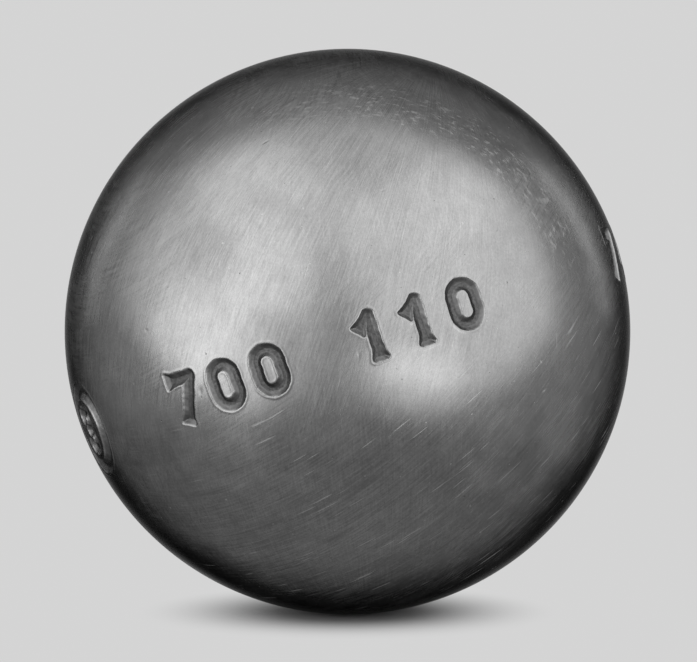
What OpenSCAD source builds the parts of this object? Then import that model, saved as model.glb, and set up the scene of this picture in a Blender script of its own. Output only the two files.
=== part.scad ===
// A petanque boule as it lies on the ground: two hot-pressed steel half shells joined by one weld,
// with the weld ground flush and plain numbers punched in a row round the ball. The ball is hollow
// and holds nothing. Sizes are millimetres and degrees. The origin is the centre of the ball, +Z is
// up, and the long row of numbers faces -Y. An azimuth is measured from -Y towards +X.

/* [Ball] */
// Outer diameter of the ball
ball_d = 74; // [70.5:0.5:80]
// Thickness of the steel wall
wall = 6.13; // [4.5:0.01:8]

/* [Weld] */
// Gap between the root faces of the two half shells
root_gap = 1; // [0.4:0.1:2]
// Height of each root face, from the hollow outwards
root_face = 2; // [1:0.1:3]
// Bevel of each half shell's edge, measured from the plane of the weld
bevel = 30; // [15:1:40]
// Height of the weld's root over the wall of the hollow
root_h = 0.8; // [0.3:0.1:1.2]
// Width of the weld's root along the wall of the hollow
root_w = 2.8; // [2.6:0.1:5]
// Azimuth at which the weld crosses the row of marks
weld_azimuth = 50; // [42:1:58]

/* [Numerals] */
// Height of a numeral
numeral_h = 6.8; // [5:0.1:8]
// Width of a numeral
numeral_w = 4.8; // [3.8:0.1:5.2]
// Width of a punched stroke
stroke_w = 1.6; // [0.8:0.1:1.8]
// Width of a stroke's flared end
stroke_end_w = 2; // [1.8:0.1:2.4]
// Depth of every punched mark
mark_depth = 0.6; // [0.2:0.05:0.8]
// Step from one numeral to the next, along the ball
numeral_pitch = 6.3; // [5.6:0.1:6.8]

/* [Ring mark] */
// Outer diameter of the ring mark
ring_d = 12.4; // [12.2:0.1:14]
// Width of the ring mark's groove
ring_w = 2; // [0.6:0.1:2]

/* [Places] */
// Azimuth of the middle of the mass in grams
mass_azimuth = -26.8; // [-32:0.1:-24]
// Azimuth of the middle of the strength in kilograms per square millimetre
strength_azimuth = 14.4; // [12:0.1:18]
// Azimuth of the middle of the diameter in millimetres
diameter_azimuth = 80.5; // [76:0.5:110]
// Azimuth of the middle of the ring mark
ring_azimuth = -75; // [-100:1:-70]
// Latitude of the row of marks, above its great circle
row_latitude = -2.2; // [-10:0.1:10]

/* [Lie] */
// Lean of the row's axis to the left, seen from the front
lean_left = 18.7; // [-90:0.1:90]
// Lean of the row's axis to the back
lean_back = 5; // [-90:0.5:90]

/* [Hidden] */

// Sides of the circles of the ball and of the marks
ball_sides = 180;
mark_sides = 48;

// Overrun of every cut past the surface that it cuts
overrun = 1;

ball_r = ball_d / 2;
inner_r = ball_r - wall;
land_r = inner_r + root_face;
cut_r = ball_r + overrun;
land_z = root_gap / 2;
cut_z = land_z + (cut_r - land_r) * tan(bevel);

// The weld's root is a circular arch over the wall of the hollow
root_arch_r = (root_h ^ 2 + (root_w / 2) ^ 2) / (2 * root_h);
// How deep the weld's web reaches into the arch of its root, as a share of the root's height
web_reach_share = 0.25;
web_r = inner_r - root_h * web_reach_share;

// Half the height and width of a numeral, between the middles of its strokes
reach_y = (numeral_h - stroke_w) / 2;
reach_x = (numeral_w - stroke_w) / 2;
bowl_r = reach_y / 2;

// Where strokes of the numerals meet or end, as shares of their reach
one_flag_shares = [0.8, 0.45];
four_stem_share = 0.35;
four_bar_share = 0.35;
seven_foot_share = 0.4;

// Where the bowls of a three open to the left, in degrees
bowl_opening = 120;

pitch_turn = numeral_pitch / ball_r * 180 / PI;

// Lays the ball down as it is seen
module lie() {
    rotate([-lean_back, 0, 0]) rotate([0, -lean_left, 0]) children();
}

// Takes a shape from the plane of the weld at z zero to the weld's place, +z to the front half shell
module across_weld() {
    rotate([0, 0, weld_azimuth - 90]) rotate([90, 0, 0]) children();
}

// Takes an upright flat figure to the row of marks and punches it through the surface
module on_row(azimuth) {
    rotate([0, 0, azimuth])
        rotate([90 - row_latitude, 0, 0])
            translate([0, 0, inner_r])
                linear_extrude(wall + overrun, $fn = mark_sides) children();
}

// One straight stroke with flared round ends
module stroke(start, end) {
    run = end - start;
    translate(start) rotate(atan2(run.y, run.x)) translate([0, -stroke_w / 2]) square([norm(run), stroke_w]);
    translate(start) circle(d = stroke_end_w);
    translate(end) circle(d = stroke_end_w);
}

// An upright oval with straight sides
module oval(half_w) {
    straight = reach_y - reach_x;
    translate([-half_w, -straight]) square([2 * half_w, 2 * straight]);
    translate([0, straight]) circle(half_w);
    translate([0, -straight]) circle(half_w);
}

// A round bowl, open over a sector that starts at the given angle
module bowl(opening_start) {
    far = numeral_w;
    difference() {
        circle(bowl_r + stroke_w / 2);
        circle(bowl_r - stroke_w / 2);
        polygon([
            [0, 0],
            for (step = [0:2]) far * [
                cos(opening_start + step * bowl_opening / 2),
                sin(opening_start + step * bowl_opening / 2)
            ]
        ]);
    }
}

module zero() {
    difference() {
        oval(reach_x + stroke_w / 2);
        oval(reach_x - stroke_w / 2);
    }
}

module one() {
    stroke([0, -reach_y], [0, reach_y]);
    stroke([0, reach_y], [-reach_x * one_flag_shares.x, reach_y * one_flag_shares.y]);
}

module three() {
    upper_end = bowl_r * [cos(180 - bowl_opening / 4), sin(180 - bowl_opening / 4)];
    translate([0, bowl_r]) bowl(180 - bowl_opening / 4);
    translate([0, -bowl_r]) bowl(180 - bowl_opening * 3 / 4);
    translate([0, bowl_r]) translate(upper_end) circle(d = stroke_end_w);
    translate([0, -bowl_r]) translate([upper_end.x, -upper_end.y]) circle(d = stroke_end_w);
}

module four() {
    stem_x = reach_x * four_stem_share;
    bar_y = -reach_y * four_bar_share;
    stroke([stem_x, -reach_y], [stem_x, reach_y]);
    stroke([stem_x, reach_y], [-reach_x, bar_y]);
    stroke([-reach_x, bar_y], [reach_x, bar_y]);
}

module seven() {
    stroke([-reach_x, reach_y], [reach_x, reach_y]);
    stroke([reach_x, reach_y], [-reach_x * seven_foot_share, -reach_y]);
}

module numeral(n) {
    if (n == 0) zero();
    if (n == 1) one();
    if (n == 3) three();
    if (n == 4) four();
    if (n == 7) seven();
}

// A number of one to three digits, with its middle at the given azimuth
module number(digits, azimuth) {
    for (i = [0:len(digits) - 1])
        on_row(azimuth + (i - (len(digits) - 1) / 2) * pitch_turn) numeral(digits[i]);
}

module ring_mark() {
    on_row(ring_azimuth) difference() {
        circle(d = ring_d);
        circle(d = ring_d - 2 * ring_w);
    }
}

// Cuts the figures into what they are taken from, to one depth everywhere
module punched() {
    difference() {
        children();
        sphere(ball_r - mark_depth, $fn = ball_sides);
    }
}

// Half of the hollow ball on the +z side of the weld, bevelled for the weld
module half_shell() {
    difference() {
        sphere(ball_r, $fn = ball_sides);
        sphere(inner_r, $fn = ball_sides);
        rotate_extrude($fn = ball_sides)
            polygon([[0, -cut_r], [cut_r, -cut_r], [cut_r, cut_z], [land_r, land_z], [0, land_z]]);
    }
}

module front_half_shell() {
    color("dimgray") lie() difference() {
        across_weld() half_shell();
        punched() {
            number([7, 0, 0], mass_azimuth);
            number([1, 1, 0], strength_azimuth);
            ring_mark();
            number([3], ring_azimuth);
        }
    }
}

module rear_half_shell() {
    color("gray") lie() difference() {
        across_weld() mirror([0, 0, 1]) half_shell();
        punched() number([7, 4], diameter_azimuth);
    }
}

// What fills the bevels and the gap between the half shells, flush with the ball
module weld_web() {
    intersection() {
        sphere(ball_r, $fn = ball_sides);
        rotate_extrude($fn = ball_sides) polygon([
            [web_r, -land_z], [land_r, -land_z], [cut_r, -cut_z],
            [cut_r, cut_z], [land_r, land_z], [web_r, land_z]
        ]);
    }
}

// The arch of the weld's root, which stands on the wall of the hollow
module weld_root() {
    intersection() {
        sphere(inner_r, $fn = ball_sides);
        rotate_extrude($fn = ball_sides) translate([inner_r - root_h + root_arch_r, 0]) circle(root_arch_r);
    }
}

module weld_bead() {
    color("silver") lie() across_weld() {
        weld_web();
        weld_root();
    }
}

front_half_shell();
rear_half_shell();
weld_bead();
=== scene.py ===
"""The looks of a petanque boule: a hollow ball of ground carbon steel with a row of punched numerals.

The two half shells and the weld between them are closed surfaces worked out with numpy, and the marks
and nicks are real hollows in their skins. Lengths are metres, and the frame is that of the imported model:
the origin is the middle of the ball, +Z is up, and the long row of numerals faces -Y.
"""
import math

import bpy
import numpy as np
from bpy.props import FloatProperty, FloatVectorProperty, IntProperty, PointerProperty
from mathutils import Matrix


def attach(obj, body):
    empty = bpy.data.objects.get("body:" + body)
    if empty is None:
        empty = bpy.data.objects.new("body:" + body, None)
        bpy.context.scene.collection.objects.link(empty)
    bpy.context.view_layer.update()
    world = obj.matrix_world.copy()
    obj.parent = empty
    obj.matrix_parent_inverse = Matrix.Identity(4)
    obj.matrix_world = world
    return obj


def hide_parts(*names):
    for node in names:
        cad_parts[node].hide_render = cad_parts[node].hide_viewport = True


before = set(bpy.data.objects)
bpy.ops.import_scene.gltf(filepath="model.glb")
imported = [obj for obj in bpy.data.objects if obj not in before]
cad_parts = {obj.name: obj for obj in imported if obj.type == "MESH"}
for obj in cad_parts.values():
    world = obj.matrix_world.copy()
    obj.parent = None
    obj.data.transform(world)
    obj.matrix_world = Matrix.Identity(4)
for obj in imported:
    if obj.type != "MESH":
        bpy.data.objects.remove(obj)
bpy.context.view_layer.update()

bl_info = {
    "name": "Petanque boule",
    "version": (1, 0, 0),
    "blender": (4, 5, 0),
    "location": "View3D > Sidebar > Boule",
    "description": "Makes a ground steel petanque boule and a plain stage to show it on",
    "category": "Add Mesh",
}

MM = 0.001
PHOTO_W = 697
PHOTO_H = 662


def length(name, text, default):
    """A property that holds a length in metres."""
    return FloatProperty(name=name, description=text, default=default, precision=5, unit="LENGTH")


def angle(name, text, degrees):
    """A property that holds an angle, given here in degrees."""
    return FloatProperty(name=name, description=text, default=math.radians(degrees), subtype="ANGLE")


def share(name, text, default):
    """A property that holds a plain number."""
    return FloatProperty(name=name, description=text, default=default)


def count(name, text, default):
    """A property that holds a whole number."""
    return IntProperty(name=name, description=text, default=default, min=1)


def grey(name, text, brightness):
    """A property that holds a linear colour, which starts as a grey."""
    shown = {"subtype": "COLOR", "min": 0, "max": 1}
    return FloatVectorProperty(name=name, description=text, default=[brightness] * 3, **shown)


class BallSizes(bpy.types.PropertyGroup):
    """Sizes of the hollow ball and of the weld round it."""

    diameter: length("Diameter", "Outer diameter of the ball", 74 * MM)
    ground_off: length("Ground off", "How far the ground skin lies inside the nominal sphere", 0.015 * MM)
    wall: length("Wall", "Thickness of the steel", 6.13 * MM)
    root_gap: length("Root gap", "Gap between the root faces of the half shells", 1 * MM)
    root_face: length("Root face", "Height of each root face, from the hollow outwards", 2 * MM)
    bevel: angle("Bevel", "Bevel of each half shell's edge, from the plane of the weld", 30)
    root_h: length("Root height", "Height of the weld's root over the wall of the hollow", 0.8 * MM)
    root_w: length("Root width", "Width of the weld's root along the wall of the hollow", 2.8 * MM)
    weld_azimuth: angle("Weld azimuth", "Azimuth at which the weld crosses the row of marks", 50)
    lean_left: angle("Lean left", "Lean of the row's axis to the left, seen from the front", 18.7)
    lean_back: angle("Lean back", "Lean of the row's axis to the back", 5)


class MarkSizes(bpy.types.PropertyGroup):
    """Sizes and places of the punched marks."""

    numeral_h: length("Numeral height", "Height of a numeral", 6.8 * MM)
    numeral_w: length("Numeral width", "Width of a numeral", 4.8 * MM)
    stroke_w: length("Stroke width", "Width of a punched stroke", 1.6 * MM)
    stroke_end_w: length("Stroke end width", "Width of a stroke's flared end", 2.3 * MM)
    flare_run: length("Flare run", "How far from a stroke's end it begins to flare", 0.9 * MM)
    corner_r: length("Corner radius", "Radius of the corners of a stroke's end", 0.32 * MM)
    depth: length("Depth", "Depth of every punched mark", 0.6 * MM)
    pitch: length("Pitch", "Step from one numeral to the next, along the ball", 6.3 * MM)
    ring_d: length("Ring diameter", "Outer diameter of the ring mark", 12.4 * MM)
    ring_w: length("Ring width", "Width of the ring mark's groove", 2 * MM)
    wall_run: length("Wall run", "How far a numeral's wall runs from its rim to its floor", 0.74 * MM)
    ring_run: length("Ring run", "How far the ring mark's wall runs from its rim to its floor", 1 * MM)
    rim_round: length("Rim rounding", "How far outside a stroke its wall begins", 0.08 * MM)
    rim_wobble: length("Rim wobble", "How far the rim of a stroke wanders", 0.018 * MM)
    lip_h: length("Lip height", "Height of the metal pushed up beside a stroke", 0.03 * MM)
    lip_run: length("Lip run", "Half the width of that raised lip", 0.16 * MM)
    mass_azimuth: angle("Mass azimuth", "Azimuth of the middle of the mass", -26.8)
    strength_azimuth: angle("Strength azimuth", "Azimuth of the middle of the strength", 14.4)
    diameter_azimuth: angle("Diameter azimuth", "Azimuth of the middle of the diameter", 80.5)
    ring_azimuth: angle("Ring azimuth", "Azimuth of the middle of the ring mark", -75)
    latitude: angle("Latitude", "Latitude of the row, above its great circle", -2.2)


class MeshSizes(bpy.types.PropertyGroup):
    """How finely the skins are divided."""

    rows: count("Rows", "Cells of a half shell from pole to pole", 112)
    columns: count("Columns", "Cells of a half shell from rim to rim", 108)
    split: count("Split", "Parts of a cell's side where the skin has relief", 10)
    lining: count("Lining", "Rings of cells on the wall of the hollow", 40)


class SteelLook(bpy.types.PropertyGroup):
    """Finish of the ground steel."""

    light_steel: grey("Light steel", "Colour of the ground steel where it is brightest", 0.29)
    dark_steel: grey("Dark steel", "Colour of the ground steel where it is darkest", 0.105)
    # The colour of tarnish in the marks and pits, which in the marks also serves as painted shade in the
    # hollows
    tarnish_and_shade: grey("Tarnish", "Colour of the steel in the marks and pits", 0.04)
    edge: grey("Edge", "Tint of the steel where it is seen at a shallow angle", 0.13)
    roughness: share("Roughness", "Mean roughness of the ground steel", 0.26)
    line_contrast: share("Line contrast", "How strongly the grinding lines show as light and dark", 0.8)
    line_depth: length("Line depth", "Depth of the grinding lines", 0.008 * MM)
    scratch_depth: length("Scratch depth", "Depth of the single scratches", 0.006 * MM)
    fibre_depth: length("Fibre depth", "Depth of the short fibres in the belt", 0.0128 * MM)
    grain_depth: length("Grain depth", "Depth of the fine grain all over", 0.003 * MM)
    punched_grain_depth: length("Grain depth in marks", "Depth of the grain in the marks", 0.014 * MM)
    pit_depth: length("Pit depth", "Depth of the small pits", 0.009 * MM)


class StageLook(bpy.types.PropertyGroup):
    """Floor, light and camera."""

    floor: grey("Floor", "Colour of the floor", 0.6)
    backdrop: share("Backdrop", "Brightness of the room where it is seen, also in the steel", 0.66)
    front_edge: length("Front edge", "How far in front of the middle of the ball the floor ends", 78 * MM)
    shadow_core: length("Shadow core", "How far from the ball's foot its whole shadow shows", 8 * MM)
    shadow_reach: length("Shadow reach", "How far from the ball's foot its shadow has gone", 28 * MM)
    distance: length("Distance", "Distance of the camera from the middle of the ball", 0.8)
    elevation: angle("Elevation", "Elevation of the camera", 5)


# Geometry of directions

def direction(azimuth, latitude):
    """Unit vectors: azimuth runs from -Y towards +X, and latitude up from the XY plane."""
    azimuth, latitude = np.broadcast_arrays(azimuth, latitude)
    level = np.cos(latitude)
    return np.stack([np.sin(azimuth) * level, -np.cos(azimuth) * level, np.sin(latitude)], -1)


def unit(vectors):
    """Vectors of length one."""
    return vectors / np.linalg.norm(vectors, axis=-1, keepdims=True)


def lie_matrix(ball):
    """The turn that lays the row down as the ball lies: to the left about Y, then back about X."""
    left, back = ball.lean_left, ball.lean_back
    about_y = np.array([
        [math.cos(left), 0, -math.sin(left)],
        [0, 1, 0],
        [math.sin(left), 0, math.cos(left)],
    ])
    about_x = np.array([
        [1, 0, 0],
        [0, math.cos(back), math.sin(back)],
        [0, -math.sin(back), math.cos(back)],
    ])
    return about_x @ about_y


def seen(x, y, elevation):
    """The direction of the point of the ball that the camera sees x to the right and y up, in radii."""
    right = np.array([1, 0, 0])
    up = np.array([0, math.sin(elevation), math.cos(elevation)])
    near = np.array([0, -math.cos(elevation), math.sin(elevation)])
    return x * right + y * up + math.sqrt(1 - x * x - y * y) * near


def tangents(rays):
    """Two unit vectors square to each ray and to each other."""
    steep = np.abs(rays[..., 2:]) > 0.9
    helper = np.where(steep, np.array([1.0, 0, 0]), np.array([0, 0, 1.0]))
    first = unit(np.cross(helper, rays))
    return first, np.cross(rays, first)


# Figures of the marks, each a distance from the rim of its strokes that is negative inside them

def stroke_gap(x, y, start, end, free, marks):
    """A straight stroke from a joint to an end.

    It is a box round its middle line: half a circle closes it at the joint, and at the end too where that
    isn't free. A free end is flat with round corners, and the sides flare out towards it as a bell curve.
    """
    ax, ay = start
    dx, dy = end[0] - ax, end[1] - ay
    run = math.hypot(dx, dy)
    half, corner = marks.stroke_w / 2, marks.corner_r
    along = ((x - ax) * dx + (y - ay) * dy) / run
    aside = ((x - ax) * dy - (y - ay) * dx) / run
    if not free:
        return np.hypot(aside, along - np.clip(along, 0, run)) - half
    to_end = run + half - along
    widening = marks.stroke_end_w / 2 - half
    flare = widening * np.exp(-(np.maximum(to_end, 0) / marks.flare_run) ** 2)
    past_side = np.hypot(aside, np.minimum(along, 0)) - half - flare + corner
    past_end = corner - to_end
    outside = np.hypot(np.maximum(past_side, 0), np.maximum(past_end, 0))
    return outside + np.minimum(np.maximum(past_side, past_end), 0) - corner


def zero_gap(x, y, marks, reach):
    """An upright oval: distance to a loop of two half circles and two straights."""
    straight = reach[1] - reach[0]
    return np.abs(np.hypot(x, np.maximum(np.abs(y) - straight, 0)) - reach[0]) - marks.stroke_w / 2


def bowl_gap(x, y, opening, marks, radius):
    """A round bowl, open over the sector between two angles: distance to the arc or to its nearer end."""
    first, last = (math.radians(a) for a in opening)
    turn = np.mod(np.arctan2(y, x) - first, 2 * math.pi)
    ends = [np.hypot(x - radius * math.cos(a), y - radius * math.sin(a)) for a in (first, last)]
    away = np.where(turn < last - first, np.minimum(*ends), np.abs(np.hypot(x, y) - radius))
    return away - marks.stroke_w / 2


def three_gap(x, y, marks, reach):
    """Two bowls one above the other, open to the left, with flared ends."""
    radius = reach[1] / 2
    upper = bowl_gap(x, y - radius, (150, 270), marks, radius)
    lower = bowl_gap(x, y + radius, (90, 210), marks, radius)
    end_x, end_y = radius * math.cos(math.radians(150)), radius * (1 + math.sin(math.radians(150)))
    flare = np.hypot(x - end_x, np.abs(y) - end_y) - marks.stroke_end_w / 2
    return np.minimum(np.minimum(upper, lower), flare)


def strokes_of(digit, reach):
    """Joint and end of each straight stroke of a one, a four or a seven, and whether that end is free."""
    w, h = reach
    return {
        1: [((0, h), (0, -h), True), ((0, h), (-0.85 * w, 0.5 * h), True)],
        4: [
            ((0.35 * w, h), (0.35 * w, -h), True),
            ((0.35 * w, h), (-w, -0.35 * h), False),
            ((-w, -0.35 * h), (w, -0.35 * h), True),
        ],
        7: [((w, h), (-w, h), True), ((w, h), (-0.4 * w, -h), True)],
    }[digit]


def figure_gap(figure, x, y, marks):
    """The distance field of a numeral, or of the ring, which is a circle's."""
    if figure == "ring":
        return np.abs(np.hypot(x, y) - (marks.ring_d - marks.ring_w) / 2) - marks.ring_w / 2
    reach = ((marks.numeral_w - marks.stroke_w) / 2, (marks.numeral_h - marks.stroke_w) / 2)
    if figure == 0:
        return zero_gap(x, y, marks, reach)
    if figure == 3:
        return three_gap(x, y, marks, reach)
    return np.minimum.reduce([stroke_gap(x, y, *stroke, marks) for stroke in strokes_of(figure, reach)])


def number(digits, azimuth, ball, marks):
    """The digits of a number with the azimuth of each, the number's middle at the given azimuth."""
    turn = marks.pitch / (ball.diameter / 2)
    return [(digit, azimuth + (i - (len(digits) - 1) / 2) * turn) for i, digit in enumerate(digits)]


def all_figures(ball, marks):
    """Every figure on the ball with its azimuth."""
    return [
        *number((7, 0, 0), marks.mass_azimuth, ball, marks),
        *number((1, 1, 0), marks.strength_azimuth, ball, marks),
        *number((7, 4), marks.diameter_azimuth, ball, marks),
        *number((3,), marks.ring_azimuth, ball, marks),
        ("ring", marks.ring_azimuth),
    ]


# Nicks that show on the photographed side: place in radii, half length, half width, depth, turn
SEEN_NICKS = [
    (-0.316, 0.447, 0.42, 0.20, 0.050, 60),
    (-0.281, 0.649, 0.45, 0.12, 0.030, 20),
    (-0.147, 0.377, 0.26, 0.16, 0.030, 75),
    (0.673, -0.200, 0.40, 0.15, 0.040, 15),
    (0.120, 0.480, 0.22, 0.14, 0.020, 10),
    (0.420, 0.350, 0.20, 0.16, 0.022, 50),
    (0.500, 0.010, 0.34, 0.10, 0.022, 100),
    (-0.550, -0.480, 0.30, 0.12, 0.030, 30),
    (0.240, -0.620, 0.28, 0.14, 0.028, 25),
    (-0.060, -0.780, 0.30, 0.16, 0.030, 80),
]
SCATTERED_NICKS = 70
# Height over the plane of the weld below which the skin has no relief, past each half shell's rim
CLEAR_OF_WELD = 4.2 * MM


def nick_list(stage, ball):
    """Centre, long and short directions, half sizes and depth of every nick, in the row's frame."""
    draw = np.random.default_rng(11)
    nicks = [(seen(x, y, stage.elevation), *sizes) for x, y, *sizes in SEEN_NICKS]
    for _ in range(SCATTERED_NICKS):
        ray = unit(draw.normal(size=3))
        long_half = draw.uniform(0.18, 0.5)
        short_half = long_half * draw.uniform(0.3, 0.8)
        depth = draw.uniform(0.01, 0.04)
        nicks.append((ray, long_half, short_half, depth, draw.uniform(0, 180)))
    lie = lie_matrix(ball)
    found = []
    for ray, long_half, short_half, depth, turn in nicks:
        ray = ray @ lie
        east, north = tangents(ray)
        c, s = math.cos(math.radians(turn)), math.sin(math.radians(turn))
        ways = (c * east + s * north, c * north - s * east)
        found.append((ray, *ways, long_half * MM, short_half * MM, depth * MM))
    return found


def skin_radius(ball):
    """Radius of the ground skin."""
    return ball.diameter / 2 - ball.ground_off


class Relief:
    """Height of the skin over the plain sphere, as a function of the direction from the middle."""

    def __init__(self, ball, marks, stage):
        self.radius = skin_radius(ball)
        self.weld_axis = direction(ball.weld_azimuth - math.pi / 2, 0.0)
        self.marks = marks
        self.figures = all_figures(ball, marks)
        self.nicks = nick_list(stage, ball)

    def wobble(self, x, y):
        """A sum of three sines that makes the rims of the punched strokes a little uneven."""
        u, v = x / MM, y / MM
        slow = np.sin(3.1 * u + 1.7 * v) + np.sin(4.3 * v - 2.3 * u + 1)
        quick = np.sin(7.1 * u + 5.3 * v + 2)
        return self.marks.rim_wobble * (slow + quick / 2)

    def figure(self, figure, azimuth, rays):
        """Height that one figure adds: a wall down to its floor, and a low lip outside its rim.

        With t running from nought at the rim to one at the wall's foot, the wall sinks by 1.35 t - 0.35 t^4
        of the mark's depth, and more steeply than that at the rim. The lip is a bell curve over the gap.
        """
        marks = self.marks
        out = direction(azimuth, marks.latitude)
        east = np.array([math.cos(azimuth), math.sin(azimuth), 0])
        local = self.radius * rays @ np.stack([east, np.cross(out, east), out], -1)
        reach = max(marks.ring_d, marks.numeral_h) / 2 + 6 * marks.lip_run
        near = (local[:, 2] > 0) & (np.hypot(local[:, 0], local[:, 1]) < reach)
        x, y = local[near, 0], local[near, 1]
        gap = figure_gap(figure, x, y, marks) + self.wobble(x, y)
        run = marks.ring_run if figure == "ring" else marks.wall_run
        t = np.clip((marks.rim_round - gap) / run, 0, 1)
        wall = (1.35 * t - 0.35 * t ** 4) * np.clip(t / 0.12, 0, 1) ** 0.5
        lip = np.exp(-(np.maximum(gap, 0) / marks.lip_run - 1.4) ** 2) * (gap > 0)
        height = np.zeros(len(rays))
        height[near] = marks.lip_h * lip * (1 - wall) - marks.depth * wall
        return height

    def nick(self, ray, long_way, short_way, long_half, short_half, depth, rays):
        """Height that one nick adds: a bell curve drawn out along its length."""
        height = np.zeros(len(rays))
        near = rays @ ray > math.cos(4 * long_half / self.radius)
        along = self.radius * rays[near] @ long_way / long_half
        across = self.radius * rays[near] @ short_way / short_half
        height[near] = -depth * np.exp(-along ** 2 - across ** 2)
        return height

    def __call__(self, rays):
        """The sum over all figures and nicks, faded out beside the weld, with traces set to nought."""
        height = sum(self.figure(figure, azimuth, rays) for figure, azimuth in self.figures)
        height = height + sum(self.nick(*nick, rays) for nick in self.nicks)
        over_weld = self.radius * np.abs(rays @ self.weld_axis)
        height = height * np.clip((over_weld - CLEAR_OF_WELD) / MM, 0, 1)
        return np.where(np.abs(height) < 0.0003 * MM, 0, height)

    def normals(self, rays):
        """Unit normals of the skin: each ray is tilted against the relief's slope along two tangents."""
        step = 0.04 * MM / self.radius
        first, second = tangents(rays)
        slopes = [
            (self(unit(rays + step * way)) - self(unit(rays - step * way))) / (2 * step * self.radius)
            for way in (first, second)
        ]
        return unit(rays - slopes[0][:, None] * first - slopes[1][:, None] * second)


# Closed meshes from arrays of points and faces

class Shell:
    """Collects the points and faces of one piece, with the normals of each face's corners."""

    def __init__(self):
        self.points = np.zeros((0, 3))
        self.faces = []

    def add_points(self, points):
        """Adds points and returns their numbers, in the shape of the array that was given."""
        flat = points.reshape(-1, 3)
        numbers = len(self.points) + np.arange(len(flat))
        self.points = np.concatenate([self.points, flat])
        return numbers.reshape(points.shape[:-1])

    def add_faces(self, faces, normals):
        """Adds faces with the same number of corners; normals is a function of the corners' points."""
        corners, back = np.unique(faces, return_inverse=True)
        self.faces.append((faces, normals(self.points[corners])[back.reshape(faces.shape)]))

    def make(self, name, turn):
        """Makes the piece's object, turned into the ball's frame, with its corner normals."""
        mesh = bpy.data.meshes.new(name)
        corners = np.concatenate([faces.ravel() for faces, _ in self.faces])
        sides = np.concatenate([np.full(len(faces), faces.shape[1]) for faces, _ in self.faces])
        normals = np.concatenate([shade.reshape(-1, 3) for _, shade in self.faces]) @ turn.T
        mesh.vertices.add(len(self.points))
        mesh.vertices.foreach_set("co", (self.points @ turn.T).ravel())
        mesh.loops.add(len(corners))
        mesh.loops.foreach_set("vertex_index", corners.astype(np.int32))
        mesh.polygons.add(len(sides))
        starts = np.cumsum(sides) - sides
        mesh.polygons.foreach_set("loop_start", starts.astype(np.int32))
        mesh.update(calc_edges=True)
        mesh.shade_smooth()
        mesh.normals_split_custom_set(normals.tolist())
        if mesh.validate(verbose=False):
            raise RuntimeError(f"the mesh of {name} had faults")
        piece = bpy.data.objects.new(name, mesh)
        bpy.context.scene.collection.objects.link(piece)
        return piece


def weld_profile(ball):
    """Radius and height, over the plane of the weld, of the corners of a half shell's bevelled edge."""
    outer, inner = skin_radius(ball), ball.diameter / 2 - ball.wall
    land_r, land_z, slope = inner + ball.root_face, ball.root_gap / 2, math.tan(ball.bevel)
    rise = land_z - slope * land_r
    mouth_r = (-slope * rise + math.sqrt(outer ** 2 * (1 + slope ** 2) - rise ** 2)) / (1 + slope ** 2)
    mouth = (mouth_r, rise + slope * mouth_r)
    return mouth, (land_r, land_z), (math.sqrt(inner ** 2 - land_z ** 2), land_z)


def weld_axes(azimuth):
    """The weld's axis at an azimuth, and two directions square to it: sideways and up the row's axis."""
    return direction(azimuth, 0.0), direction(azimuth + math.pi / 2, 0.0), np.array([0, 0, 1.0])


def turned(radius, height, turns, axes):
    """A profile turned about the weld's axis: one ring of points for each radius and height."""
    axis, side, up = axes
    radius, height = np.asarray(radius)[:, None, None], np.asarray(height)[:, None, None]
    ring = np.cos(turns)[:, None] * side + np.sin(turns)[:, None] * up
    return radius * ring + height * axis


def ring_faces(first, second):
    """Four-cornered faces between two closed rings of points."""
    return np.stack([first, np.roll(first, -1), np.roll(second, -1), second], -1)


def rim_turns(mesh):
    """Angles round the weld's axis at which both half shells and the weld have points."""
    return -math.pi / 2 + np.arange(2 * mesh.rows) * math.pi / mesh.rows


def skin_nodes(azimuth, mouth_angle, mesh):
    """Rays of a half shell's skin on a fine grid, in the row's frame.

    Rows go by the turn along the rim, so that latitude is asin(cos(mouth) sin(turn)), and columns share
    out the azimuths from rim to rim, which reach acos(sin(mouth) / cos(latitude)) to either side.
    """
    turn = np.linspace(-math.pi / 2, math.pi / 2, mesh.rows * mesh.split + 1)
    latitude = np.arcsin(math.cos(mouth_angle) * np.sin(turn))
    reach = np.arccos(np.clip(math.sin(mouth_angle) / np.cos(latitude), -1, 1))
    across = np.linspace(-1, 1, mesh.columns * mesh.split + 1)
    return direction(azimuth + reach[:, None] * across, latitude[:, None])


def cell_outline(split, fine_below, fine_right, fine_above, fine_left):
    """Grid steps round a coarse cell, with every fine point on a side that it shares with fine cells."""
    steps = range(split)
    below = [(0, s) for s in steps] if fine_below else [(0, 0)]
    right = [(s, split) for s in steps] if fine_right else [(0, split)]
    above = [(split, split - s) for s in steps] if fine_above else [(split, split)]
    left = [(split - s, 0) for s in steps] if fine_left else [(split, 0)]
    return np.array(below + right + above + left)


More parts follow.
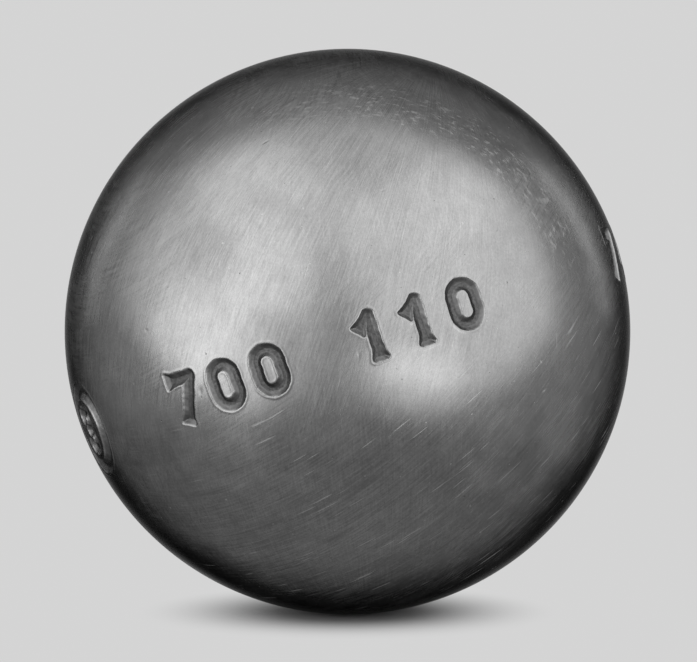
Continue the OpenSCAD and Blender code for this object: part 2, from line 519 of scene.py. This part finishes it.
def skin_faces(numbers, fine, split):
    """Faces of the skin: small ones in the fine cells, and one for each coarse cell."""
    rows, columns = np.nonzero(fine)
    steps = np.arange(split)
    i = (rows[:, None, None] * split + steps[:, None]) + 0 * steps
    j = (columns[:, None, None] * split + steps) + 0 * steps[:, None]
    i, j = i.ravel(), j.ravel()
    found = []
    if len(i):
        near, far = (numbers[i, j], numbers[i, j + 1]), (numbers[i + 1, j + 1], numbers[i + 1, j])
        found.append(np.stack([*near, *far], -1))
    edged = np.pad(fine, 1)
    sides = [edged[:-2, 1:-1], edged[1:-1, 2:], edged[2:, 1:-1], edged[1:-1, :-2]]
    kind = sum(side.astype(int) << bit for bit, side in enumerate(sides))
    pole = np.zeros_like(fine)
    pole[[0, -1]] = True
    for pattern in range(16):
        rows, columns = np.nonzero(~fine & ~pole & (kind == pattern))
        outline = cell_outline(split, *(pattern >> bit & 1 for bit in range(4)))
        if len(rows):
            i, j = rows[:, None] * split + outline[:, 0], columns[:, None] * split + outline[:, 1]
            found.append(numbers[i, j])
    low, high, across = numbers[::split][[0, 1]], numbers[::split][[-2, -1]], slice(None, None, split)
    found.append(np.stack([low[0, across][:-1], low[1, across][1:], low[1, across][:-1]], -1))
    found.append(np.stack([high[0, across][:-1], high[0, across][1:], high[1, across][:-1]], -1))
    return found


def fine_cells(uneven, split):
    """Which coarse cells have relief on or inside their sides, and which grid points the skin uses."""
    steps = range(split + 1)
    shifted = [np.roll(uneven, (-a, -b), (0, 1))[:-1:split, :-1:split] for a in steps for b in steps]
    fine = np.any(shifted, axis=0)
    used = np.zeros(uneven.shape, bool)
    used[::split, ::split] = True
    inside = np.repeat(np.repeat(fine, split, 0), split, 1)
    for a in (0, 1):
        for b in (0, 1):
            used[a:a + inside.shape[0], b:b + inside.shape[1]] |= inside
    used[[0, -1], 1:] = False
    return fine, used


def half_shell(name, azimuth, props):
    """A half shell: its skin with the relief, its bevel and root face, and the wall of the hollow."""
    ball, mesh = props.ball, props.mesh
    radius, inner = skin_radius(ball), ball.diameter / 2 - ball.wall
    relief = Relief(ball, props.marks, props.stage)
    mouth, land, _ = weld_profile(ball)
    rays = skin_nodes(azimuth, math.atan2(mouth[1], mouth[0]), mesh)
    height = relief(rays.reshape(-1, 3)).reshape(rays.shape[:2])
    fine, used = fine_cells(height != 0, mesh.split)
    shell = Shell()
    numbers = np.zeros(height.shape, int)
    numbers[used] = shell.add_points(((radius + height)[..., None] * rays)[used])
    numbers[[0, -1], 1:] = numbers[[0, -1], :1]
    for faces in skin_faces(numbers, fine, mesh.split):
        shell.add_faces(faces, lambda points: relief.normals(unit(points)))
    axes = weld_axes(azimuth)
    rim = np.concatenate([numbers[:-1:mesh.split, -1], numbers[:0:-mesh.split, 0]])
    turns = rim_turns(mesh)
    lift = np.linspace(math.asin(land[1] / inner), math.pi / 2, mesh.lining + 1)[:-1]
    lands = shell.add_points(turned([land[0]], [land[1]], turns, axes))[0]
    rings = shell.add_points(turned(inner * np.cos(lift), inner * np.sin(lift), turns, axes))
    pole = shell.add_points(inner * axes[0][None])

    def bevel_normals(points):
        """Square to the bevel, which is a cone about the weld's axis."""
        outwards = unit(points - (points @ axes[0])[:, None] * axes[0])
        return math.sin(ball.bevel) * outwards - math.cos(ball.bevel) * axes[0]

    shell.add_faces(ring_faces(lands, rim), bevel_normals)
    shell.add_faces(ring_faces(rings[0], lands), lambda points: np.broadcast_to(-axes[0], points.shape))
    for low, high in zip(rings[:-1], rings[1:]):
        shell.add_faces(ring_faces(high, low), lambda points: -unit(points))
    fan = np.stack([np.full(len(turns), pole[0]), np.roll(rings[-1], -1), rings[-1]], -1)
    shell.add_faces(fan, lambda points: -unit(points))
    piece = shell.make(name, lie_matrix(ball))
    store_hollow_depth(piece, ball, props.marks)
    return piece


def store_hollow_depth(piece, ball, marks):
    """Stores how deep each point lies in a mark or nick, as a share of a mark's depth, which the steel
    reads for its roughness, tarnish and painted shade.
    """
    points = np.zeros(len(piece.data.vertices) * 3, np.float32)
    piece.data.vertices.foreach_get("co", points)
    away = np.linalg.norm(points.reshape(-1, 3), axis=1)
    sunk = np.clip((skin_radius(ball) - away) / marks.depth, 0, 1)
    sunk[away < ball.diameter / 2 - 2 * marks.depth] = 0
    layer = piece.data.attributes.new("sunk", "FLOAT", "POINT")
    layer.data.foreach_set("value", sunk.astype(np.float32))


# Points of the weld's profile along its skin, and along the arch of its root
WELD_SKIN_POINTS = 9
WELD_ARCH_POINTS = 13


def weld_ring(name, azimuth, props):
    """The weld: a closed profile turned about its axis, flush outside, with its root's arch inside."""
    ball = props.ball
    inner = ball.diameter / 2 - ball.wall
    mouth, land, toe = weld_profile(ball)
    arch_r = (ball.root_h ** 2 + (ball.root_w / 2) ** 2) / (2 * ball.root_h)
    arch_middle = inner - ball.root_h + arch_r
    foot_r = (inner ** 2 - arch_r ** 2 + arch_middle ** 2) / (2 * arch_middle)
    foot_z = math.sqrt(inner ** 2 - foot_r ** 2)
    mouth_angle = math.atan2(mouth[1], mouth[0])
    half_arch = math.asin(foot_z / arch_r)
    out = np.linspace(-mouth_angle, mouth_angle, WELD_SKIN_POINTS)
    arch = np.linspace(half_arch, -half_arch, WELD_ARCH_POINTS)
    skin = np.stack([np.cos(out), np.sin(out)], -1) * skin_radius(ball)
    root = np.stack([arch_middle - arch_r * np.cos(arch), arch_r * np.sin(arch)], -1)
    sides = np.array([land, toe])
    loop = np.concatenate([skin, sides, root, (sides * [1, -1])[::-1]])
    turns = rim_turns(props.mesh)
    axes = weld_axes(azimuth)
    shell = Shell()
    rings = shell.add_points(turned(loop[:, 0], loop[:, 1], turns, axes))
    edges = np.roll(loop, -1, 0) - loop
    for k, edge in enumerate(edges):
        faces = ring_faces(rings[k], rings[(k + 1) % len(loop)])
        if k < len(skin) - 1:
            shell.add_faces(faces, unit)
            continue
        outwards, along = unit(np.array([edge[1], -edge[0]]))

        def edge_normals(points, outwards=outwards, along=along):
            """Square to one edge of the profile, turned about the weld's axis with it."""
            return outwards * unit(points - (points @ axes[0])[:, None] * axes[0]) + along * axes[0]

        shell.add_faces(faces, edge_normals)
    return shell.make(name, lie_matrix(ball))


# Shader maths

class Wire:
    """A socket of a shader graph that can be used in sums, each of which adds its Math node."""

    def __init__(self, graph, socket):
        self.graph = graph
        self.socket = socket

    def maths(self, operation, *values):
        return self.graph.add("ShaderNodeMath", {"operation": operation}, dict(enumerate(values)))

    def __add__(self, other):
        return self.maths("ADD", self, other)

    def __sub__(self, other):
        return self.maths("SUBTRACT", self, other)

    def __rsub__(self, other):
        return self.maths("SUBTRACT", other, self)

    def __mul__(self, other):
        return self.maths("MULTIPLY", self, other)

    def __truediv__(self, other):
        return self.maths("DIVIDE", self, other)

    __radd__ = __add__
    __rmul__ = __mul__


class Graph:
    """The nodes of one material, or of the world."""

    def __init__(self, name, kind="materials"):
        self.block = getattr(bpy.data, kind).new(name)
        self.block.use_nodes = True
        self.tree = self.block.node_tree
        self.tree.nodes.clear()

    def add(self, kind, settings=None, sockets=None, output=0):
        """Adds a node of a kind: its settings first, then the values or links of its sockets."""
        node = self.tree.nodes.new(kind)
        for key, value in (settings or {}).items():
            setattr(node, key, value)
        for key, value in (sockets or {}).items():
            if isinstance(value, Wire):
                self.tree.links.new(value.socket, node.inputs[key])
            else:
                node.inputs[key].default_value = value
        return Wire(self, node.outputs[output]) if len(node.outputs) else None

    def dot(self, vector, way):
        """The part of a vector along a fixed direction."""
        both = {0: vector, 1: tuple(way)}
        return self.add("ShaderNodeVectorMath", {"operation": "DOT_PRODUCT"}, both, "Value")

    def step(self, value, low, high):
        """A smooth step from nought at low to one at high."""
        ends = {"Value": value, "From Min": low, "From Max": high}
        return self.add("ShaderNodeMapRange", {"interpolation_type": "SMOOTHSTEP"}, ends)

    def noise(self, vector, scale, detail=2.0, roughness=0.5, distortion=0.0):
        """Cloudy noise about one half."""
        shape = {"Detail": detail, "Roughness": roughness, "Distortion": distortion}
        return self.add("ShaderNodeTexNoise", None, {"Vector": vector, "Scale": scale, **shape})

    def vector(self, x, y, z):
        """A vector from three values."""
        return self.add("ShaderNodeCombineXYZ", None, {0: x, 1: y, 2: z})


def lines_to_pole(graph, place, pole, across, along, offset, detail=3):
    """Grinding lines that run to a pole: noise of the azimuth about it, drawn out along the way to it."""
    first, second = tangents(pole)
    turn = graph.dot(place, second).maths("ARCTAN2", graph.dot(place, second), graph.dot(place, first))
    spot = graph.vector(turn * across, graph.dot(place, pole) * along, offset)
    return graph.noise(spot, 1.0, detail, 0.6)


def lines_round(graph, place, axis, across, along, offset, detail=3):
    """Grinding lines in circles about an axis: noise of the height along it, drawn out round it."""
    first, second = tangents(axis)
    spot = graph.vector(
        graph.dot(place, axis) * across,
        graph.dot(place, first) * along + offset,
        graph.dot(place, second) * along,
    )
    return graph.noise(spot, 1.0, detail, 0.6)


# Families of grinding lines: how they run, where the camera sees their pole or axis, in radii of the
# ball, how closely they lie, how often they break off, and a place of their own in the noise
GRINDING = {
    "upper": (lines_to_pole, 0.29, 0.94, 200, 6, 0),
    "upright": (lines_to_pole, -0.08, 0.985, 165, 7, 7),
    "rising": (lines_round, -0.61, 0.62, 185, 6, 0),
    "steep": (lines_round, -0.66, 0.70, 165, 7, 5),
}


def ground_steel(name, props):
    """Dark carbon steel, ground in crossing families of fine lines, with scratches, flecks and pits, and
    with painted shade towards the bottom of the ball.
    """
    look, elevation = props.steel, props.stage.elevation
    graph = Graph(name)
    coordinates = graph.add("ShaderNodeTexCoord", None, None, "Object")
    to_radii = {0: coordinates, "Scale": 2 / props.ball.diameter}
    place = graph.add("ShaderNodeVectorMath", {"operation": "SCALE"}, to_radii)
    up = graph.dot(place, seen(0, 1, elevation))
    cloud = graph.noise(place, 2.2, 3.0, 0.55, 0.4) - 0.5
    patch = graph.noise(place, 5.0, 2.0, 0.5, 0.3) - 0.5
    mottle = graph.noise(place, 13.0, 3.0, 0.6, 0.2) - 0.5
    grain = graph.noise(place, 120.0, 3.0, 0.7) - 0.5

    # Families of fine lines, and where on the ball each one is strong
    upper, upright, rising, steep = (
        family(graph, place, seen(x, y, elevation), across, along, offset) - 0.5
        for family, x, y, across, along, offset in GRINDING.values()
    )
    aside = graph.dot(place, (1, 0, 0))
    far_right = graph.step(aside, 0.3, 0.7)
    far_left = graph.step(aside, -0.3, -0.7)
    low = graph.step(up - far_right * 0.3 + patch * 0.9, -0.1, -0.5)
    high = 1 - low
    # Painted shade: a mask that darkens the steel's colour towards the bottom of the ball as it lies
    painted_shade_below = graph.step(up + patch * 0.6, -0.2, -0.6)
    crossed = graph.step(cloud + patch * 0.6, -0.03, 0.12)
    lines = (
        (upper * (high * 0.8 + 0.2) + upright * (mottle + 0.45)) * (1 - far_right * 0.6)
        + rising * (low * 0.7 + 0.15) * (1 - far_left * 0.7)
        + steep * crossed * 0.7
    )

    # Single scratches
    rising_scratch = lines_round(graph, place, seen(-0.58, 0.71, elevation), 110, 5, 3, detail=1)
    upper_scratch = lines_to_pole(graph, place, seen(0.22, 0.95, elevation), 90, 6, 3, detail=1)
    scratch = (
        graph.step(rising_scratch, 0.70, 0.76) * (low * 0.9 + 0.1) * (1 - far_left * 0.8)
        + graph.step(upper_scratch, 0.73, 0.80) * high * 0.5
    )

    # Short fibres in a belt round the upper part, and flecks and pits all over
    facing = graph.dot(place, seen(0, 0, elevation))
    rightwards = graph.step(aside, -0.5, 0.1)
    ring = graph.step(facing, 0.46, 0.57) * graph.step(facing, 0.70, 0.64)
    belt = ring * graph.step(up, 0.1, 0.4) * rightwards
    around = lines_round(graph, place, seen(0, 0, elevation), 95, 32, 9, detail=2)
    fibre = graph.step(around, 0.58, 0.68) * belt
    fleck = graph.step(graph.noise(place, 58.0, 1.0, 0.5), 0.77, 0.82)
    pit = graph.step(graph.noise(place, 84.0, 1.0, 0.5) + cloud * 0.1, 0.77, 0.82)
    # Scratches, flecks and fibres: rougher and cut in, and lighter in colour, partly bare worn steel and
    # partly a painted highlight
    rough_spot_and_glint = graph.add("ShaderNodeClamp", None, {"Value": scratch + fibre * 0.5 + fleck * 0.8})
    sunk = graph.add("ShaderNodeAttribute", {"attribute_name": "sunk"}, None, "Fac")
    in_mark = graph.step(sunk, 0.04, 0.4)
    bottom = graph.step(sunk, 0.8, 1.0)

    micron = 0.001 * MM
    height = (
        lines * (look.line_depth / micron)
        + (around - 0.5) * belt * (look.fibre_depth / micron)
        - rough_spot_and_glint * (look.scratch_depth / micron)
        + (grain + mottle * 0.6) * (look.grain_depth / micron)
        - pit * (look.pit_depth / micron)
        + grain * in_mark * (look.punched_grain_depth / micron)
    )
    bump = graph.add("ShaderNodeBump", None, {"Strength": 1.0, "Distance": micron, "Height": height})

    uneven = cloud * 0.12 + patch * 0.08 + lines * 0.16
    roughness = look.roughness + uneven + rough_spot_and_glint * 0.22 + in_mark * 0.2 + pit * 0.2
    shade = (
        0.5
        + lines * look.line_contrast
        + cloud * 0.5
        + mottle * 0.35
        + grain * 0.5
        # scratches, flecks and fibres lighter: partly bare worn steel, partly a painted highlight for the
        # glint of their walls
        + rough_spot_and_glint * 0.6
        + (around - 0.55) * belt * 0.7
        # painted shade: darker towards the bottom of the ball
        - painted_shade_below * 0.34
    )
    steel = graph.add("ShaderNodeMix", {"data_type": "RGBA"}, {
        0: graph.add("ShaderNodeClamp", None, {"Value": shade}),
        6: (*look.dark_steel, 1),
        7: (*look.light_steel, 1),
    }, 2)
    # The marks darken towards the tarnish colour, most at their floors: partly tarnish of the punched steel
    # and partly painted shade in the hollows
    darkened = in_mark * (0.55 + grain + bottom * 0.3) + pit * 0.5
    base = graph.add("ShaderNodeMix", {"data_type": "RGBA"}, {
        0: graph.add("ShaderNodeClamp", None, {"Value": darkened}),
        6: steel,
        7: (*look.tarnish_and_shade, 1),
    }, 2)
    shader = graph.add("ShaderNodeBsdfPrincipled", None, {
        "Base Color": base,
        "Metallic": 1.0,
        "Roughness": graph.add("ShaderNodeClamp", None, {"Value": roughness, "Min": 0.12, "Max": 0.75}),
        "Specular Tint": (*look.edge, 1),
        "Normal": bump,
    })
    graph.add("ShaderNodeOutputMaterial", None, {"Surface": shader})
    return graph.block


def finish_piece(piece, node, slot, props):
    """Gives a piece its steel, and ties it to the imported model."""
    name = f"{slot}_ground"
    piece.data.materials.append(bpy.data.materials.get(name) or ground_steel(name, props))
    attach(piece, "root")
    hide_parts(node)


class BOULE_OT_front_half_shell(bpy.types.Operator):
    """Makes the half shell that carries the mass, the strength and the ring mark"""

    bl_idname = "boule.front_half_shell"
    bl_label = "Front half shell"

    def execute(self, context):
        props = context.scene.boule
        piece = half_shell("front_half_shell_skin", props.ball.weld_azimuth - math.pi / 2, props)
        finish_piece(piece, "front_half_shell", "shell_steel", props)
        return {"FINISHED"}


class BOULE_OT_rear_half_shell(bpy.types.Operator):
    """Makes the half shell that carries the diameter"""

    bl_idname = "boule.rear_half_shell"
    bl_label = "Rear half shell"

    def execute(self, context):
        props = context.scene.boule
        piece = half_shell("rear_half_shell_skin", props.ball.weld_azimuth + math.pi / 2, props)
        finish_piece(piece, "rear_half_shell", "shell_steel", props)
        return {"FINISHED"}


class BOULE_OT_weld_bead(bpy.types.Operator):
    """Makes the weld between the half shells, ground flush"""

    bl_idname = "boule.weld_bead"
    bl_label = "Weld"

    def execute(self, context):
        props = context.scene.boule
        piece = weld_ring("weld_bead_ring", props.ball.weld_azimuth - math.pi / 2, props)
        finish_piece(piece, "weld_bead", "weld_steel", props)
        return {"FINISHED"}


# Softboxes: azimuth from the camera to the right, elevation, half width and half height as tangents of
# the angles that they fill, brightness, and the softness of the left, right, lower and upper edge
SOFTBOXES = {
    "left": (-55, 23, 0.95, 1.20, 1.45, (0.95, 0.95, 0.10, 0.40)),
    "right": (49, 21, 0.87, 0.95, 1.75, (0.35, 0.55, 0.70, 0.65)),
    "overhead": (-4, 75, 1.10, 0.50, 0.60, (0.10, 0.15, 0.95, 0.10)),
    "low left": (-60, -2, 0.40, 0.35, 1.60, (0.95, 0.95, 0.80, 0.95)),
    "low right": (26, -12, 0.36, 0.14, 1.65, (0.95, 0.10, 0.80, 0.50)),
    "middle left": (-34, 28, 0.30, 0.28, 1.20, (0.35, 0.10, 0.10, 0.55)),
    "side right": (87, 62, 0.18, 2.20, 0.30, (0.30, 0.10, 0.20, 0.30)),
    "back": (180, 25, 1.10, 0.20, 0.60, (0.60, 0.60, 0.50, 0.50)),
    "back left": (-130, 9, 0.045, 0.26, 2.60, (0.40, 0.40, 0.40, 0.40)),
    "back right": (130, 14, 0.045, 0.32, 2.90, (0.40, 0.40, 0.40, 0.40)),
}
# Parts of a ray along a softbox's middle between which its light fades in, so that none lies behind
SIDEWAYS = 0.02
FORWARDS = 0.1

FLOOR_REACH = 6.0
FLOOR_POINTS = 9


def softbox(graph, ray, azimuth, elevation, half_w, half_h, brightness, soft):
    """A rectangle of light far away: the ray is laid on its plane, and fades out over its soft edges."""
    azimuth, elevation = math.radians(azimuth), math.radians(elevation)
    middle, right = direction(azimuth, elevation), direction(azimuth + math.pi / 2, 0.0)
    ahead = graph.dot(ray, middle)
    depth = ahead.maths("MAXIMUM", ahead, SIDEWAYS)
    across = graph.dot(ray, right) / depth
    upwards = graph.dot(ray, np.cross(middle, right)) / depth
    light = graph.step(ahead, SIDEWAYS, FORWARDS) * brightness
    sides = ((-1 * across, half_w), (across, half_w), (-1 * upwards, half_h), (upwards, half_h))
    for (reach, half), edge in zip(sides, soft):
        light = light * graph.step(reach, half * (1 + edge), half * (1 - edge))
    return light


def sight(graph):
    """Two masks: the camera's rays, and all by which the eye sees a thing, in steel or glass too."""
    camera, glossy, clear = (
        graph.add("ShaderNodeLightPath", None, None, f"Is {kind} Ray")
        for kind in ("Camera", "Glossy", "Transmission")
    )
    return camera, camera.maths("MAXIMUM", camera, glossy.maths("MAXIMUM", glossy, clear))


def pale_room(stage):
    """The room: softboxes that light all, and a pale backdrop that only the eye and the steel see."""
    graph = Graph("room", "worlds")
    ray = graph.add("ShaderNodeTexCoord", None, None, "Generated")
    camera, in_sight = sight(graph)
    boxes = sum(softbox(graph, ray, *values) for values in SOFTBOXES.values())
    strength = in_sight * stage.backdrop + boxes * (1 - camera)
    shader = graph.add("ShaderNodeBackground", None, {"Color": (1, 1, 1, 1), "Strength": strength})
    graph.add("ShaderNodeOutputWorld", None, {"Surface": shader})
    bpy.context.scene.world = graph.block


def pale_floor(props):
    """A level table top as wide as the camera looks.

    It keeps the ball's shadow near its foot. Further out it is seen as pale as the backdrop.
    Its front edge lies between the ball and the camera, below the picture, so that the low ends of the
    softboxes show in the ball.
    """
    low = -props.ball.diameter / 2
    x, y = np.meshgrid(
        np.linspace(-FLOOR_REACH, FLOOR_REACH, FLOOR_POINTS),
        np.linspace(-props.stage.front_edge, FLOOR_REACH, FLOOR_POINTS),
    )
    shell = Shell()
    numbers = shell.add_points(np.stack([x, y, np.full_like(x, low)], -1))
    faces = np.stack([numbers[:-1, :-1], numbers[:-1, 1:], numbers[1:, 1:], numbers[1:, :-1]], -1)
    shell.add_faces(faces.reshape(-1, 4), lambda points: np.broadcast_to([0.0, 0, 1], points.shape))
    floor = shell.make("floor", np.eye(3))
    graph = Graph("pale_floor")
    place = graph.add("ShaderNodeTexCoord", None, None, "Object")
    foot = {0: place, 1: (0, 0, low)}
    from_foot = graph.add("ShaderNodeVectorMath", {"operation": "DISTANCE"}, foot, "Value")
    _, in_sight = sight(graph)
    clear = in_sight * graph.step(from_foot, props.stage.shadow_core, props.stage.shadow_reach)
    lit = graph.add("ShaderNodeBsdfDiffuse", None, {"Color": (*props.stage.floor, 1)})
    plain = graph.add("ShaderNodeEmission", None, {"Strength": props.stage.backdrop})
    shader = graph.add("ShaderNodeMixShader", None, {0: clear, 1: lit, 2: plain})
    graph.add("ShaderNodeOutputMaterial", None, {"Surface": shader})
    graph.block.cycles.emission_sampling = "NONE"
    floor.data.materials.append(graph.block)


# The ball in the photograph, in pixels
BALL_MIDDLE_PX = (347.5, 331.6)
BALL_RADIUS_PX = 283


def add_camera(props):
    """The photograph's camera: its lens makes the ball's outline as wide as in the photograph."""
    stage = props.stage
    camera = bpy.data.cameras.new("camera")
    camera.sensor_width = 36
    outline = math.tan(math.asin(props.ball.diameter / 2 / stage.distance))
    camera.lens = camera.sensor_width * BALL_RADIUS_PX / PHOTO_W / outline
    camera.shift_x = (PHOTO_W / 2 - BALL_MIDDLE_PX[0]) / PHOTO_W
    camera.shift_y = (BALL_MIDDLE_PX[1] - PHOTO_H / 2) / PHOTO_W
    thing = bpy.data.objects.new("camera", camera)
    thing.location = stage.distance * direction(0.0, stage.elevation)
    thing.rotation_euler = (math.pi / 2 - stage.elevation, 0, 0)
    bpy.context.scene.collection.objects.link(thing)
    bpy.context.scene.camera = thing


class BOULE_OT_stage(bpy.types.Operator):
    """Makes the plain floor, the soft light and the camera"""

    bl_idname = "boule.stage"
    bl_label = "Stage"

    def execute(self, context):
        props = context.scene.boule
        pale_floor(props)
        pale_room(props.stage)
        add_camera(props)
        context.scene.view_settings.view_transform = "Standard"
        return {"FINISHED"}


class BouleProperties(bpy.types.PropertyGroup):
    """Everything that a user can change."""

    ball: PointerProperty(type=BallSizes)
    marks: PointerProperty(type=MarkSizes)
    mesh: PointerProperty(type=MeshSizes)
    steel: PointerProperty(type=SteelLook)
    stage: PointerProperty(type=StageLook)


OPERATORS = (BOULE_OT_front_half_shell, BOULE_OT_rear_half_shell, BOULE_OT_weld_bead, BOULE_OT_stage)


class BOULE_PT_panel(bpy.types.Panel):
    """Lists the pieces and the stage"""

    bl_label = "Petanque boule"
    bl_idname = "BOULE_PT_panel"
    bl_space_type = "VIEW_3D"
    bl_region_type = "UI"
    bl_category = "Boule"

    def draw(self, context):
        for name in BouleProperties.__annotations__:
            group = getattr(context.scene.boule, name)
            box = self.layout.box()
            for key in type(group).__annotations__:
                box.prop(group, key)
        for operator in OPERATORS:
            self.layout.operator(operator.bl_idname)


GROUPS = (BallSizes, MarkSizes, MeshSizes, SteelLook, StageLook, BouleProperties)
CLASSES = (*GROUPS, *OPERATORS, BOULE_PT_panel)


def register():
    """Registers the classes and gives each scene its properties."""
    for item in CLASSES:
        bpy.utils.register_class(item)
    bpy.types.Scene.boule = PointerProperty(type=BouleProperties)


def unregister():
    """Takes the properties and classes away again."""
    del bpy.types.Scene.boule
    for item in reversed(CLASSES):
        bpy.utils.unregister_class(item)


def main():
    """Makes every piece and the stage."""
    register()
    bpy.ops.boule.front_half_shell()
    bpy.ops.boule.rear_half_shell()
    bpy.ops.boule.weld_bead()
    bpy.ops.boule.stage()


if __name__ == "__main__":
    main()
